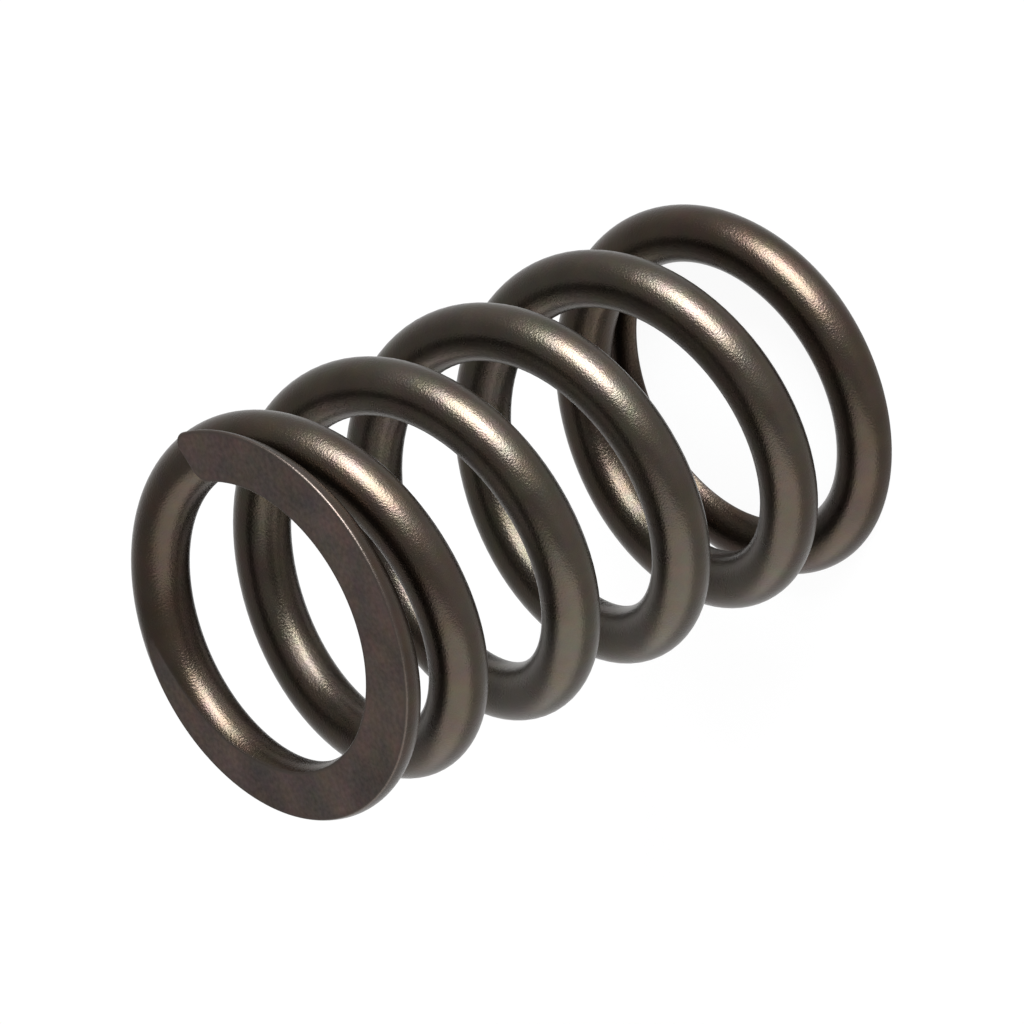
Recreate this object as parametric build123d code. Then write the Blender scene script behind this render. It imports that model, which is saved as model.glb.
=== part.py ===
from build123d import *

import os
from math import cos, sin, sqrt, tau

# Engine valve spring: a helical compression spring of round wire, right-hand wound,
# closed at both ends and ground flat on both ends.
# It stands on its lower ground face: +Z runs up the axis of the coil, the origin is on
# that axis in the plane of the lower face, and the upper tip of the wire points to +X.

# Driving dimensions, in millimetres
outside_diameter = 31.75
wire_diameter = 4.5
free_length = 53.2
tip_gap = 0.12  # between the wire's tip and the coil it closes against
upper_tip_thickness = 1.5  # what the grinding leaves of the wire at the upper tip
lower_tip_thickness = 0.45
upper_tip_flare = 0.24  # how far the upper tip springs outwards
end_rounding = 1.2  # on the rims of the cut ends of the wire, before they are ground

# Driving angle, in degrees: both ends are cut this far from square, and both the same way,
# so that the outer side of the wire is the longer one at the upper tip.
end_cut_angle = 14

# Driving dimensions, in turns of the wire
total_coils = 6.02
upper_closed_turns = 0.48  # from the tip to where the pitch starts to open
upper_opening_turns = 0.92  # over which it opens to its full value
lower_closed_turns = 0.24
lower_opening_turns = 1.58
flare_turns = 0.34

# The centre line of the wire is laid out in this many spans a turn, two arcs to a span.
spans_per_turn = 4

wire_radius = wire_diameter / 2
mean_radius = outside_diameter / 2 - wire_radius
offcut_turns = wire_diameter / (tau * mean_radius)  # wound past each tip and cut off
upper_end = (upper_closed_turns, upper_opening_turns)
lower_end = (lower_closed_turns, lower_opening_turns)


def open_turns(from_tip, closed, opening):
    """Turns of full pitch gained this far from a tip: none while closed, then a smooth start."""
    share = min(max((from_tip - closed) / opening, 0), 1)
    beyond = max(from_tip - closed - opening, 0)
    return opening * (share**3 - share**4 / 2) + beyond


def dead_turns(from_tip, closed, opening):
    """Turns of full pitch lost this far from a tip, because the end is closed."""
    return from_tip - open_turns(from_tip, closed, opening)


# One turn in from either tip the wire has risen by its own diameter and the gap,
# so that the tip closes against the coil beside it.
contact_rise = wire_diameter + tip_gap

# Grinding takes off what stands past each face, so the centre line runs past it too.
upper_overrun = wire_radius - upper_tip_thickness
lower_overrun = wire_radius - lower_tip_thickness
centre_line_rise = lower_overrun + free_length + upper_overrun

# The pitch of the active coils follows from the free length and the two closed ends.
upper_loss = dead_turns(total_coils, *upper_end) / dead_turns(1, *upper_end)
lower_loss = dead_turns(total_coils, *lower_end) / dead_turns(1, *lower_end)
closed_rise = contact_rise * (upper_loss + lower_loss)
active_pitch = (centre_line_rise - closed_rise) / (total_coils - upper_loss - lower_loss)
upper_pitch_drop = (active_pitch - contact_rise) / dead_turns(1, *upper_end)
lower_pitch_drop = (active_pitch - contact_rise) / dead_turns(1, *lower_end)


def centre_height(turns):
    """Height of the wire's centre line, this many turns up from its lower tip."""
    lower_dead = dead_turns(turns, *lower_end)
    upper_dead = dead_turns(total_coils, *upper_end) - dead_turns(total_coils - turns, *upper_end)
    lost_height = lower_pitch_drop * lower_dead + upper_pitch_drop * upper_dead
    return active_pitch * turns - lost_height - lower_overrun


def centre_radius(turns):
    """Radius of the wire's centre line, wider by the flare at the upper tip."""
    flare_share = max(1 - (total_coils - turns) / flare_turns, 0)
    return mean_radius + upper_tip_flare * flare_share**2


def centre_point(turns):
    angle = tau * (turns - total_coils)
    radius = centre_radius(turns)
    return Vector(radius * cos(angle), radius * sin(angle), centre_height(turns))


def centre_direction(turns, step=0.001):
    return (centre_point(turns + step) - centre_point(turns - step)).normalized()


def tangent_arcs(start, end):
    """Two arcs that meet smoothly and leave and reach the helix along its own direction."""
    span = centre_point(end) - centre_point(start)
    leaving = centre_direction(start)
    reaching = centre_direction(end)
    across = span.dot(leaving + reaching)
    turning = 2 * (1 - leaving.dot(reaching))
    handle = (sqrt(across**2 + span.dot(span) * turning) - across) / turning
    before = centre_point(start) + leaving * handle
    after = centre_point(end) - reaching * handle
    meeting = (before + after) / 2
    return [
        TangentArc(centre_point(start), meeting, tangent=leaving),
        TangentArc(meeting, centre_point(end), tangent=after - before),
    ]


def wire_through(stations):
    """Round wire along its centre line through these turns, square at both ends."""
    arcs = []
    for start, end in zip(stations, stations[1:]):
        arcs += tangent_arcs(start, end)
    section = Plane(centre_point(stations[0]), z_dir=centre_direction(stations[0]))
    return sweep(section * Circle(wire_radius), path=Wire(arcs))


def cut_end(joint, tip):
    """The last span of the wire, cut askew at the tip, with the rim of the cut rounded."""
    upwards = 1 if tip > joint else -1
    span = wire_through(sorted([joint, tip, tip + upwards * offcut_turns]))
    askew = centre_direction(tip).rotate(Axis.Z, end_cut_angle)
    cut = Plane(centre_point(tip), z_dir=askew * upwards)
    span = split(span, bisect_by=cut, keep=Keep.BOTTOM)
    flat_faces = span.faces().filter_by(GeomType.PLANE)
    cut_face = flat_faces.sort_by_distance(centre_point(tip))[0]
    return fillet(cut_face.edges(), end_rounding)


def wound_wire():
    """The round wire along its centre line, with both of its cut ends."""
    spans = round(spans_per_turn * total_coils)
    stations = [total_coils * i / spans for i in range(spans + 1)]
    lower_cut_end = cut_end(stations[1], stations[0])
    upper_cut_end = cut_end(stations[-2], stations[-1])
    return lower_cut_end + wire_through(stations[1:-1]) + upper_cut_end


def grind_ends(wire):
    """Both ends ground flat and square to the axis, the free length apart."""
    between_faces = Cylinder(
        outside_diameter,
        free_length,
        align=(Align.CENTER, Align.CENTER, Align.MIN),
    )
    return wire & between_faces


spring_coil = grind_ends(wound_wire())

os.makedirs("parts", exist_ok=True)
export_step(spring_coil, "parts/spring_coil.step")
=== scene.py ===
"""The looks of an engine valve spring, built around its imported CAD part.

The spring is one piece of round wire, wound, closed at both ends and ground flat on both
ends. Geometry Nodes wind it from the sizes it was designed to, so it can carry what the
solid can't: the broken edges of the ground faces, and where each surface was worked.
Lengths are in metres and the camera stands where the photographer's did.
"""

import math

import bpy
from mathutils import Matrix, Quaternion, Vector


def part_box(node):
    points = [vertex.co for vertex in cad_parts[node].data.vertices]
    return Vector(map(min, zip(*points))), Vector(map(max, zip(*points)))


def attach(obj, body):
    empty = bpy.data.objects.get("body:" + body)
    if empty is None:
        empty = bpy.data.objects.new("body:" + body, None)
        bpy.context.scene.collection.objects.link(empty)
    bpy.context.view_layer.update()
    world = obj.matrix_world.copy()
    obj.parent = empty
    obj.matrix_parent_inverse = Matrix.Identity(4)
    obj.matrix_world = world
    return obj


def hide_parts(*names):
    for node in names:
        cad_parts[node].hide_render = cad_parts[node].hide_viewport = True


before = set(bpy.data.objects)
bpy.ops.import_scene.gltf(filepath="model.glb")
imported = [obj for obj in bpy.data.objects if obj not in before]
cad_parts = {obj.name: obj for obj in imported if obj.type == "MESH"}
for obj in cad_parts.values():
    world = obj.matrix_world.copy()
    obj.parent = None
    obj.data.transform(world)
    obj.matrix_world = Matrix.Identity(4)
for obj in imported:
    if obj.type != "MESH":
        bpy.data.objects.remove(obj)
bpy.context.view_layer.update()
lowest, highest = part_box("spring_coil")

# Sizes of the spring
outside_diameter = 0.03175
wire_diameter = 0.0045
free_length = highest.z - lowest.z
tip_gap = 0.00012  # between the wire's tip and the coil it closes against
upper_tip_thickness = 0.0015  # what the grinding leaves of the wire at the upper tip
lower_tip_thickness = 0.00045
least_tip = 0.00005  # what the rounded lower tip keeps of its thickness
upper_tip_flare = 0.00024  # how far the upper tip springs outwards
end_rounding = 0.0012  # on the rims of the cut ends of the wire
end_cut_angle = math.radians(14)  # how far from square the ends are cut
edge_break = 0.00017  # on the edges of the ground faces
worn_edge_width = 0.0001  # over which the wear fades away from an edge
first_ground_width = 0.001  # narrower than this, a ground face is still forming

# Sizes along the wire, in turns
total_coils = 6.02
upper_closed_turns = 0.48  # from the tip to where the pitch starts to open
upper_opening_turns = 0.92  # over which it opens to its full value
lower_closed_turns = 0.24
lower_opening_turns = 1.58
flare_turns = 0.34
askew_turns = 0.15  # over which the drawn rows turn askew, to end along the cut

# How finely the wire is drawn
rows_along = 760
points_around = 108
end_rows = 26  # the rows over each cut end
end_face_share = 0.35  # the share of those that lie across the end's flat face
row_crowding = 0.42  # how much closer the rows lie at the ground ends
edge_crowding = 7  # how many times closer the points lie on the broken edges
whole_section = 0.999  # from this share of its full width, a section counts as whole
least_length = 1e-9  # stands in for no length at all, which can't be divided by
merge_distance = 1e-6  # points closer than this are one point

# The photograph's camera, with its angles in degrees and its lens and sensor in millimetres
photo_azimuth = 5.40
photo_elevation = 37.98
photo_roll = -116.66
photo_lens = 321.2
sensor_width = 36
camera_distance = 0.70397
nearest_seen = 0.01
looked_at = Vector((-0.00071, -0.00006, 0.0266))

# The patterns of the finish: how large their features are, and how fine the detail in them
peening = (0.00015, 2.0)
speckle = (0.0004, 4.0)
mottling = (0.003, 5.0)
clouding = (0.011, 1.0)
patches = (0.0022, 6.0)
patch_roughness = 0.75  # how strongly the patches' own detail shows

# The colours of the oxide on the steel
wire_oxide = (0.0555, 0.0458, 0.0360, 1)
# towards the wire's ends: a warmer oxide, and darker partly as painted shade
end_oxide_and_shade = (0.0485, 0.0357, 0.0270, 1)
ground_oxide = (0.0555, 0.0462, 0.0419, 1)
heated_face = (0.0685, 0.0469, 0.0383, 1)
worn_edge_oxide = (0.062, 0.051, 0.044, 1)
grazing_tint = (0.86, 0.86, 0.86, 1)  # on what the steel reflects at a grazing angle

# How strongly the finish varies
patch_strength = 0.58
# how far the wire shifts to the ends' warmer colour, which is darker partly as painted shade
end_darkening = 1.2
end_darkening_falloff = 3
end_darkening_unevenness = 0.4
cloud_contrast = 3.0
mottle_contrast = 2.0
speckle_contrast = 4.0
wire_mottling = 0.4
ground_brightness = 1.2
ground_clouding = 0.7
ground_mottling = 0.9
ground_speckling = 1.1
least_wear = 0.4
wire_roughness = 0.28
ground_roughness = 0.56
roughness_mottling = 0.08
peening_depth = 0.000026
peening_ground_off = 0.6  # the share of the peening that the grinding takes away

# The studio
white = (1, 1, 1, 1)
horizon_strength = 1.0
overhead_strength = 0.62
dimmed_height = 0.6  # the sine of the angle above the horizon where the dimming is complete
dimming_curve = 0.7
floor_pale = (0.8, 0.8, 0.8, 1)
floor_white = 0.93  # how far the seen floor is lit to white; the rest shows the shadow
floor_radius = 4.0
floor_sides = 96
key_lamp = {
    "toward": (0.704, -0.702, 0.08),
    "distance": 0.5,
    "width": 0.34,
    "height": 0.50,
    "power": 18.5,
    "color": (0.95, 0.99, 1.04),
}
fill_lamp = {
    "toward": (-0.965, 0.06, 0.25),
    "distance": 0.4,
    "width": 0.8,
    "height": 0.8,
    "power": 3.9,
    "color": (1, 1, 1),
}

wire_radius = wire_diameter / 2
mean_radius = outside_diameter / 2 - wire_radius
quarter_turn = math.pi / 2


class Term:
    """A node's output, for use in a Python expression, which then adds its Math nodes."""

    def __init__(self, tree, output=None):
        self.tree = tree
        self.output = output

    def node(self, kind, inputs=None, output=0, **settings):
        """Add any other node: first its settings, then its inputs' values or links."""
        added = self.tree.nodes.new(kind)
        for name, setting in settings.items():
            setattr(added, name, setting)
        for name, value in (inputs or {}).items():
            socket = self.pick(added.inputs, name)
            if isinstance(value, Term):
                self.tree.links.new(value.output, socket)
            else:
                socket.default_value = value
        shown = self.pick(added.outputs, output) if added.outputs else None
        return Term(self.tree, shown)

    @staticmethod
    def pick(sockets, name):
        """The socket in use that has this name or number."""
        in_use = [socket for socket in sockets if socket.enabled]
        if isinstance(name, int):
            return in_use[name]
        return next(socket for socket in in_use if socket.name == name)

    def side(self, output):
        """Another output of the same node."""
        return Term(self.tree, self.pick(self.output.node.outputs, output))

    def math(self, operation, *others):
        return self.node(
            "ShaderNodeMath", dict(enumerate((self, *others))), operation=operation
        )

    def limited(self, low=0.0, high=1.0):
        return self.math("MAXIMUM", low).math("MINIMUM", high)

    def __add__(self, other):
        return self.math("ADD", other)

    def __sub__(self, other):
        return self.math("SUBTRACT", other)

    def __mul__(self, other):
        return self.math("MULTIPLY", other)

    def __truediv__(self, other):
        return self.math("DIVIDE", other)

    def __pow__(self, other):
        return self.math("POWER", other)

    def __neg__(self):
        return self * -1

    def __rsub__(self, other):
        return -self + other

    def __rtruediv__(self, other):
        return self**-1 * other

    __radd__ = __add__
    __rmul__ = __mul__


def limited(value, low=0.0, high=1.0):
    """A number or a term, kept between two limits."""
    if isinstance(value, Term):
        return value.limited(low, high)
    return min(max(value, low), high)


def opening_share(from_tip, closed, opening):
    """How far the pitch has opened this many turns from a tip, from 0 to 1."""
    return limited((from_tip - closed) / opening)


def dead_turns(from_tip, closed, opening):
    """Turns of full pitch lost this far from a tip, because the end is closed."""
    share = opening_share(from_tip, closed, opening)
    beyond = limited(from_tip - closed - opening, high=total_coils)
    return from_tip - (share**3 - share**4 / 2) * opening - beyond


def pitch_figures():
    """The pitch of the active coils, and what each closed end takes off it."""
    upper = (upper_closed_turns, upper_opening_turns)
    lower = (lower_closed_turns, lower_opening_turns)
    contact_rise = wire_diameter + tip_gap
    overruns = wire_diameter - upper_tip_thickness - lower_tip_thickness
    upper_loss = dead_turns(total_coils, *upper) / dead_turns(1, *upper)
    lower_loss = dead_turns(total_coils, *lower) / dead_turns(1, *lower)
    losses = upper_loss + lower_loss
    pitch = (free_length + overruns - contact_rise * losses) / (total_coils - losses)
    return {
        "Active pitch": pitch,
        "Upper pitch drop": (pitch - contact_rise) / dead_turns(1, *upper),
        "Lower pitch drop": (pitch - contact_rise) / dead_turns(1, *lower),
    }


def rim_start(tip_thickness):
    """The angle round the rim at which the wire's end begins: some way along it on a thin tip."""
    taken_off = min(end_rounding, tip_thickness - least_tip)
    return math.asin(1 - taken_off / end_rounding)


coil_sizes = {
    "Wire radius": wire_radius,
    "Mean radius": mean_radius,
    "Free length": free_length,
    "Total coils": total_coils,
    "Upper closed turns": upper_closed_turns,
    "Upper opening turns": upper_opening_turns,
    "Lower closed turns": lower_closed_turns,
    "Lower opening turns": lower_opening_turns,
    "Lower overrun": wire_radius - lower_tip_thickness,
    "Upper tip flare": upper_tip_flare,
    "Flare turns": flare_turns,
    "End rounding": end_rounding,
    "End cut slope": math.tan(end_cut_angle),
    "Askew turns": askew_turns,
    "Upper rim start": rim_start(upper_tip_thickness),
    "Lower rim start": rim_start(lower_tip_thickness),
    "Edge break": edge_break,
    "Worn edge width": worn_edge_width,
    "First ground width": first_ground_width,
    **pitch_figures(),
}


def centre_line(size, turns):
    """Radius, height and slope of the wire's centre line, and its place round the axis."""
    from_upper = size["Total coils"] - turns
    upper = (size["Upper closed turns"], size["Upper opening turns"])
    lower = (size["Lower closed turns"], size["Lower opening turns"])
    upper_dead = dead_turns(size["Total coils"], *upper) - dead_turns(from_upper, *upper)
    height = (
        size["Active pitch"] * turns
        - size["Lower pitch drop"] * dead_turns(turns, *lower)
        - size["Upper pitch drop"] * upper_dead
        - size["Lower overrun"]
    )
    flare_share = (1 - from_upper / size["Flare turns"]).limited()
    radius = size["Mean radius"] + size["Upper tip flare"] * flare_share**2
    upper_share = opening_share(from_upper, *upper)
    lower_share = opening_share(turns, *lower)
    pitch = (
        size["Active pitch"]
        - size["Upper pitch drop"] * (1 - upper_share**2 * (3 - 2 * upper_share))
        - size["Lower pitch drop"] * (1 - lower_share**2 * (3 - 2 * lower_share))
    )
    slope = (pitch / (radius * math.tau)).math("ARCTANGENT")
    angle = (turns - size["Total coils"]) * math.tau
    return radius, height, slope, angle


def ground_side(to_plane, circle, rounding):
    """How far the wire reaches to a ground face, half that face's width, and its edge's angle."""
    reach = to_plane.math("MINIMUM", circle)
    inner = circle - rounding
    half_width = (inner**2 - (reach - rounding) ** 2).limited().math("SQRT")
    edge_angle = (reach - rounding).math("ARCTAN2", half_width)
    return reach, half_width, edge_angle


def section(size, turns, inset, dip, around):
    """A circle cut by the two ground planes, with broken edges, walked round from below."""
    radius, height, slope, angle = centre_line(size, turns)
    circle = size["Wire radius"] - inset
    edge = size["Edge break"]
    to_upper_plane = (size["Free length"] - height) / slope.math("COSINE") - dip
    to_lower_plane = height / slope.math("COSINE") - dip
    top, top_width, top_angle = ground_side(to_upper_plane, circle, edge)
    bottom, bottom_width, bottom_angle = ground_side(to_lower_plane, circle, edge)
    arc_angle = top_angle + bottom_angle
    arc_length = circle * arc_angle

    # From the middle of the lower face: along it, round its edge, up the flank and so on
    lengths = [
        bottom_width,
        edge * edge_crowding * (quarter_turn - bottom_angle),
        arc_length,
        edge * edge_crowding * (quarter_turn - top_angle),
        top_width,
    ]
    half_ring = 1 - (around * 2 - 1).math("ABSOLUTE")
    outward = (around - 0.5).math("LESS_THAN", 0.0) * 2 - 1
    walked = half_ring * sum(lengths)
    shares = []
    for length in lengths:
        shares.append((walked / length.math("MAXIMUM", least_length)).limited())
        walked = walked - length
    facing = (
        shares[1] * (quarter_turn - bottom_angle)
        + shares[2] * arc_angle
        + shares[3] * (quarter_turn - top_angle)
        - quarter_turn
    )
    on_bottom = shares[1].math("LESS_THAN", 1.0)
    on_top = shares[3].math("GREATER_THAN", 0.0)
    bend = circle + (edge - circle) * (on_bottom + on_top)
    across = (
        on_top * top_width * (1 - shares[4])
        + on_bottom * bottom_width * shares[0]
        + bend * facing.math("COSINE")
    )
    up = (
        on_top * (top - edge)
        - on_bottom * (bottom - edge)
        + bend * facing.math("SINE")
    )
    top_shown = (top_width / size["First ground width"]).limited()
    bottom_shown = (bottom_width / size["First ground width"]).limited()
    return {
        "radius": radius,
        "height": height,
        "slope": slope,
        "angle": angle,
        "across": across * outward,
        "up": up,
        "middle": (top - bottom) / 2,
        "on_top": shares[3] * top_shown,
        "on_bottom": (1 - shares[1]) * bottom_shown,
        "from_top_edge": top_width * shares[4] + arc_length * (1 - shares[2]),
        "from_bottom_edge": bottom_width * (1 - shares[0]) + arc_length * shares[2],
        "top_shown": top_shown,
        "bottom_shown": bottom_shown,
    }


def wind(tree, size):
    """The wound and ground wire as a grid: along the wire in X, around it in Y."""
    start = Term(tree)
    place = start.node("GeometryNodeInputPosition")
    grid_x = start.node("ShaderNodeSeparateXYZ", {"Vector": place}, "X")
    along = grid_x + 0.5
    around = grid_x.side("Y") + 0.5

    # Over the cut ends: across the end's face, then over its rounded rim
    end_share = end_rows / rows_along
    at_upper_end = along.math("GREATER_THAN", 0.5)
    from_end = 0.5 - (along - 0.5).math("ABSOLUTE")
    over_end = (from_end / end_share).limited()
    face_scale = (over_end / end_face_share).limited()
    over_rim = ((over_end - end_face_share) / (1 - end_face_share)).limited()
    upper_start = size["Upper rim start"]
    lower_start = size["Lower rim start"]
    rim_begins = lower_start + (upper_start - lower_start) * at_upper_end
    rim_angle = rim_begins + (quarter_turn - rim_begins) * over_rim
    rounding = size["End rounding"]
    inset = rounding * (1 - rim_angle.math("SINE"))
    setback = rounding * (1 - rim_angle.math("COSINE"))
    edge = size["Edge break"]
    over_edge = 1 - (setback / edge).limited()
    dip = edge * (1 - (1 - over_edge**2).math("SQRT"))

    # Along the wire, with the rows crowded towards the ground ends
    progress = ((along - end_share) / (1 - 2 * end_share)).limited()
    progress = progress - (progress * math.tau).math("SINE") * (row_crowding / math.tau)
    turn_length = size["Mean radius"] * math.tau
    run = size["Total coils"] - rounding * 2 / turn_length
    from_lower = run * progress + setback / turn_length
    from_upper = run * (1 - progress) + setback / turn_length
    turns = from_lower + (size["Total coils"] - from_upper - from_lower) * at_upper_end

    # Across the wire, first square to it and then askew, as the ends are cut
    square = section(size, turns, inset, dip, around)
    nearest_tip = from_lower.math("MINIMUM", from_upper)
    askew = (1 - nearest_tip / size["Askew turns"]).limited() ** 2 * size["End cut slope"]
    turns = turns + square["across"] * face_scale * askew / turn_length
    drawn = section(size, turns, inset, dip, around)
    across = drawn["across"] * face_scale
    up = drawn["middle"] + (drawn["up"] - drawn["middle"]) * face_scale

    # How each point was worked, for the material
    def wear_at(distance):
        return (-((distance / size["Worn edge width"]) ** 2)).math("EXPONENT")

    uncut = face_scale.math("GREATER_THAN", whole_section)
    surfaces = {
        "ground": (drawn["on_top"] + drawn["on_bottom"]) * uncut,
        "worn_edge": (
            wear_at(drawn["from_top_edge"]) * drawn["top_shown"]
            + wear_at(drawn["from_bottom_edge"]) * drawn["bottom_shown"]
        ),
    }
    grid = start.node(
        "GeometryNodeMeshGrid",
        {
            "Size X": 1.0,
            "Size Y": 1.0,
            "Vertices X": rows_along,
            "Vertices Y": points_around + 1,
        },
        "Mesh",
    )
    for name, value in surfaces.items():
        grid = grid.node(
            "GeometryNodeStoreNamedAttribute",
            {"Geometry": grid, "Name": name, "Value": value},
            data_type="FLOAT",
            domain="POINT",
        )
    slope, angle = drawn["slope"], drawn["angle"]
    lean = slope.math("SINE") * up
    from_axis = drawn["radius"] + across
    wound = start.node(
        "ShaderNodeCombineXYZ",
        {
            "X": from_axis * angle.math("COSINE") + lean * angle.math("SINE"),
            "Y": from_axis * angle.math("SINE") - lean * angle.math("COSINE"),
            "Z": drawn["height"] + slope.math("COSINE") * up,
        },
    )
    wire = grid.node("GeometryNodeSetPosition", {"Geometry": grid, "Position": wound})
    wire = wire.node(
        "GeometryNodeMergeByDistance", {"Geometry": wire, "Distance": merge_distance}
    )
    return wire.node("GeometryNodeSetShadeSmooth", {"Geometry": wire})


def wire_piece(name, material):
    """The spring as a plain mesh, from a Geometry Nodes tree with named sizes."""
    tree = bpy.data.node_groups.new("wound and ground wire", "GeometryNodeTree")
    sockets = {}
    tree.interface.new_socket("Geometry", in_out="OUTPUT", socket_type="NodeSocketGeometry")
    for size_name in coil_sizes:
        sockets[size_name] = tree.interface.new_socket(
            size_name, in_out="INPUT", socket_type="NodeSocketFloat"
        ).identifier
    given = tree.nodes.new("NodeGroupInput")
    size = {name: Term(tree, given.outputs[name]) for name in coil_sizes}
    wire = wind(tree, size)
    wire = wire.node("GeometryNodeRealizeInstances", {"Geometry": wire})
    wire = wire.node("GeometryNodeSetMaterial", {"Geometry": wire, "Material": material})
    result = tree.nodes.new("NodeGroupOutput")
    tree.links.new(wire.output, result.inputs["Geometry"])

    holder = bpy.data.objects.new(name + "_nodes", bpy.data.meshes.new(name + "_nodes"))
    bpy.context.scene.collection.objects.link(holder)
    modifier = holder.modifiers.new("wound wire", "NODES")
    modifier.node_group = tree
    for size_name, identifier in sockets.items():
        modifier[identifier] = coil_sizes[size_name]
    bpy.context.view_layer.update()
    evaluated = holder.evaluated_get(bpy.context.evaluated_depsgraph_get())
    piece = bpy.data.objects.new(name, bpy.data.meshes.new_from_object(evaluated))
    bpy.data.objects.remove(holder)
    bpy.context.scene.collection.objects.link(piece)
    return piece


def new_material(name):
    """An empty material, and a term to start its expressions from."""
    material = bpy.data.materials.new(name)
    material.use_nodes = True
    tree = material.node_tree
    tree.nodes.clear()
    return material, Term(tree)


def attribute(start, name):
    """A value that Geometry Nodes stored at each point of the wire."""
    return start.node("ShaderNodeAttribute", output="Fac", attribute_name=name)


def mixed(start, share, first, second):
    """A colour between two colours."""
    return start.node(
        "ShaderNodeMix", {"Factor": share, "A": first, "B": second}, data_type="RGBA"
    )


def on_steel(start):
    """Places on the steel itself, in metres."""
    return start.node("ShaderNodeTexCoord", output="Object")


def grain(start, size, detail, roughness=0.5, output=0):
    """Soft random variation, with this size of its features, from 0 to 1."""
    inputs = {
        "Vector": on_steel(start),
        "Scale": 1 / size,
        "Detail": detail,
        "Roughness": roughness,
    }
    return start.node("ShaderNodeTexNoise", inputs, output)


def contrasted(pattern, gain):
    """A pattern spread out around its middle, and kept from 0 to 1."""
    return ((pattern - 0.5) * gain + 0.5).limited()


def patina(start):
    """Oxide of uneven thickness: a little more red, green or blue from place to place."""
    patch_color = grain(start, *patches, patch_roughness, "Color")
    weakest = 1 - patch_strength / 2
    return start.node(
        "ShaderNodeVectorMath",
        {0: patch_color, 1: (patch_strength,) * 3, 2: (weakest,) * 3},
        operation="MULTIPLY_ADD",
    )


def oxide_tint(start, ground, cloud, mottle):
    """Bronze wire, warmer and darker at its ends with painted shade in part, browner ground faces,
    under the patina.
    """
    height = start.node("ShaderNodeSeparateXYZ", {"Vector": on_steel(start)}, "Z")
    from_middle = (height / (free_length / 2) - 1).math("ABSOLUTE")
    # painted shade in part: the wire turns warmer and darker towards both ends
    end_darkened = (
        from_middle**end_darkening_falloff * end_darkening
        + contrasted(cloud, cloud_contrast) * end_darkening_unevenness
        - end_darkening_unevenness / 2
    ).limited()
    wire_tint = mixed(start, end_darkened, wire_oxide, end_oxide_and_shade)
    face_tint = mixed(start, contrasted(mottle, mottle_contrast), ground_oxide, heated_face)
    tint = mixed(start, ground, wire_tint, face_tint)
    return start.node(
        "ShaderNodeVectorMath", {0: tint, 1: patina(start)}, operation="MULTIPLY"
    )


def oxide_shade(ground, cloud, mottle, fine):
    """How light the oxide is: nearly even on the wire, uneven on the ground faces."""
    ground_unevenness = ground_clouding + ground_mottling + ground_speckling
    wire_shade = 1 - wire_mottling / 2 + mottle * wire_mottling
    ground_shade = (
        cloud * ground_clouding
        + mottle * ground_mottling
        + fine * ground_speckling
        + (ground_brightness - ground_unevenness / 2)
    )
    return wire_shade + (ground_shade - wire_shade) * ground


def spring_steel():
    """Dark bronze oxide on peened wire, a duller brown on the ground faces, thin on worn edges."""
    material, start = new_material("spring_steel")
    ground = attribute(start, "ground")
    cloud = grain(start, *clouding)
    mottle = grain(start, *mottling)
    fine = grain(start, *speckle)

    tint = oxide_tint(start, ground, cloud, mottle)
    shade = oxide_shade(ground, cloud, mottle, fine)
    color = start.node(
        "ShaderNodeVectorMath", {0: tint, "Scale": shade}, operation="SCALE"
    )
    wear = least_wear + contrasted(fine, speckle_contrast) * (1 - least_wear)
    worn = attribute(start, "worn_edge") * wear
    color = mixed(start, worn, color, worn_edge_oxide)
    roughness = (
        wire_roughness
        + ground * (ground_roughness - wire_roughness)
        + (mottle - 0.5) * roughness_mottling
    )
    bump = start.node(
        "ShaderNodeBump",
        {
            "Height": grain(start, *peening),
            "Strength": 1 - ground * peening_ground_off,
            "Distance": peening_depth,
        },
    )
    shader = start.node(
        "ShaderNodeBsdfPrincipled",
        {
            "Base Color": color,
            "Metallic": 1.0,
            "Specular Tint": grazing_tint,
            "Roughness": roughness,
            "Normal": bump,
        },
    )
    start.node("ShaderNodeOutputMaterial", {"Surface": shader})
    return material


def seen_share(start):
    """1 for rays that show the background: straight, in a reflection or through glass."""
    rays = start.node("ShaderNodeLightPath", output="Is Camera Ray")
    return (rays + rays.side("Is Glossy Ray") + rays.side("Is Transmission Ray")).limited()


def studio_floor():
    """A plain pale floor that is white in the picture and keeps the spring's shadow."""
    material, start = new_material("studio_floor")
    pale = start.node("ShaderNodeBsdfDiffuse", {"Color": floor_pale})
    lit = start.node("ShaderNodeEmission", {"Color": white, "Strength": 1.0})
    share = seen_share(start) * floor_white
    surface = start.node("ShaderNodeMixShader", {0: share, 1: pale, 2: lit})
    start.node("ShaderNodeOutputMaterial", {"Surface": surface})
    bpy.ops.mesh.primitive_circle_add(
        vertices=floor_sides, radius=floor_radius, fill_type="NGON"
    )
    floor = bpy.context.object
    floor.name = "studio_floor"
    floor.data.materials.append(material)
    floor.visible_shadow = False


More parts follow.
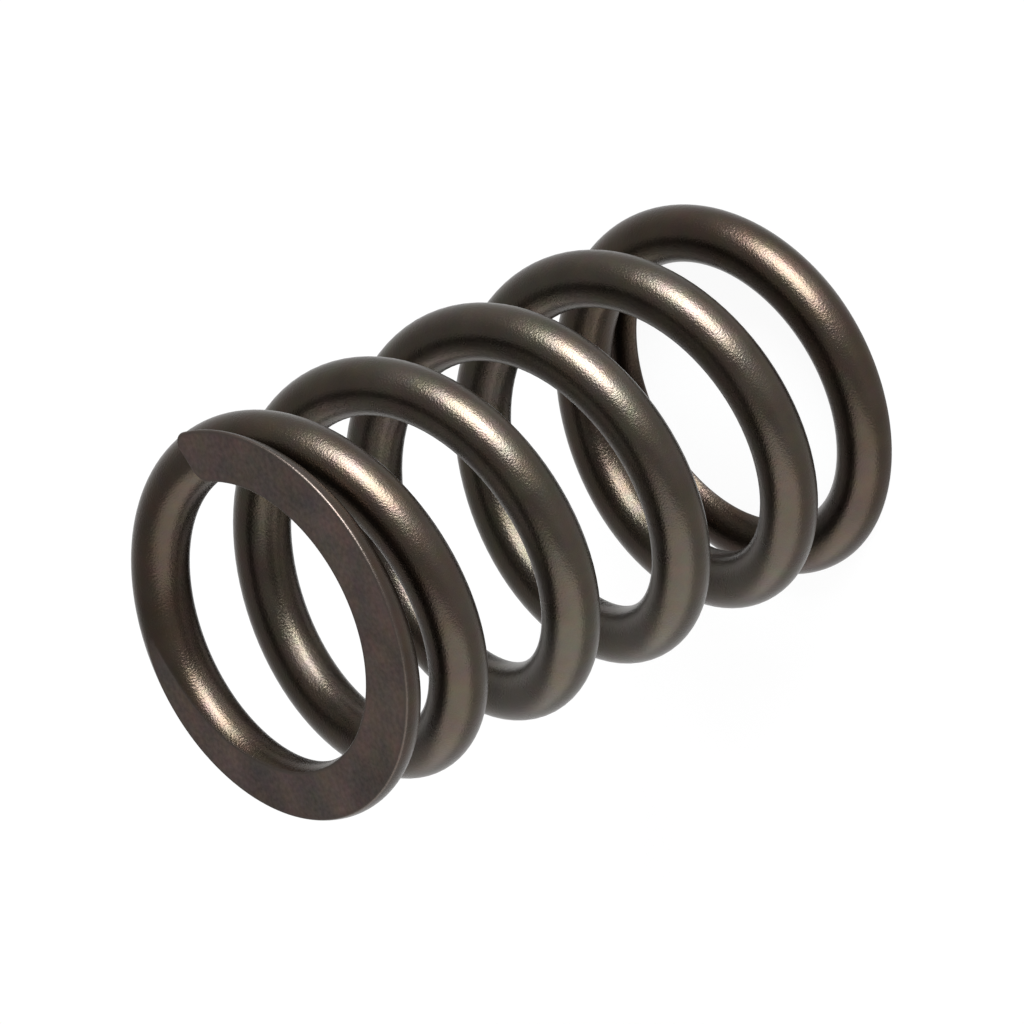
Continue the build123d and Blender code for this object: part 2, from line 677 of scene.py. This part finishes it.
def studio_world():
    """Soft light from all round: white at the horizon, as the floor is, and dimmer overhead."""
    world = bpy.data.worlds.new("studio")
    bpy.context.scene.world = world
    world.use_nodes = True
    world.node_tree.nodes.clear()
    start = Term(world.node_tree)
    direction = start.node("ShaderNodeTexCoord", output="Generated")
    height = start.node("ShaderNodeSeparateXYZ", {"Vector": direction}, "Z")
    dimming = (height / dimmed_height).limited() ** dimming_curve
    strength = horizon_strength + (overhead_strength - horizon_strength) * dimming
    surface = start.node("ShaderNodeBackground", {"Color": white, "Strength": strength})
    start.node("ShaderNodeOutputWorld", {"Surface": surface})


def soft_lamp(name, toward, distance, width, height, power, color):
    """A soft box that stands in this direction from the spring and faces it."""
    lamp = bpy.data.lights.new(name, "AREA")
    lamp.shape = "RECTANGLE"
    lamp.size = width
    lamp.size_y = height
    lamp.energy = power
    lamp.color = color
    holder = bpy.data.objects.new(name, lamp)
    holder.location = looked_at + Vector(toward).normalized() * distance
    holder.rotation_mode = "QUATERNION"
    holder.rotation_quaternion = Vector(toward).to_track_quat("Z", "Y")
    holder.visible_camera = False
    bpy.context.scene.collection.objects.link(holder)


def photo_camera():
    """The camera of the photograph, rolled as the picture of the spring lying down needs."""
    azimuth = math.radians(photo_azimuth)
    elevation = math.radians(photo_elevation)
    back = Vector(
        (
            math.sin(azimuth) * math.cos(elevation),
            -math.cos(azimuth) * math.cos(elevation),
            math.sin(elevation),
        )
    )
    lens = bpy.data.cameras.new("photo_camera")
    lens.lens = photo_lens
    lens.sensor_width = sensor_width
    lens.clip_start = nearest_seen
    camera = bpy.data.objects.new("photo_camera", lens)
    camera.location = looked_at + back * camera_distance
    camera.rotation_mode = "QUATERNION"
    upright = (-back).to_track_quat("-Z", "Y")
    camera.rotation_quaternion = upright @ Quaternion((0, 0, 1), math.radians(photo_roll))
    bpy.context.scene.collection.objects.link(camera)
    bpy.context.scene.camera = camera


photo_camera()
coil = wire_piece("spring_wire", spring_steel())
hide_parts("spring_coil")
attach(coil, "root")

studio_floor()
studio_world()
soft_lamp("key", **key_lamp)
soft_lamp("fill", **fill_lamp)
bpy.context.scene.view_settings.view_transform = "Standard"
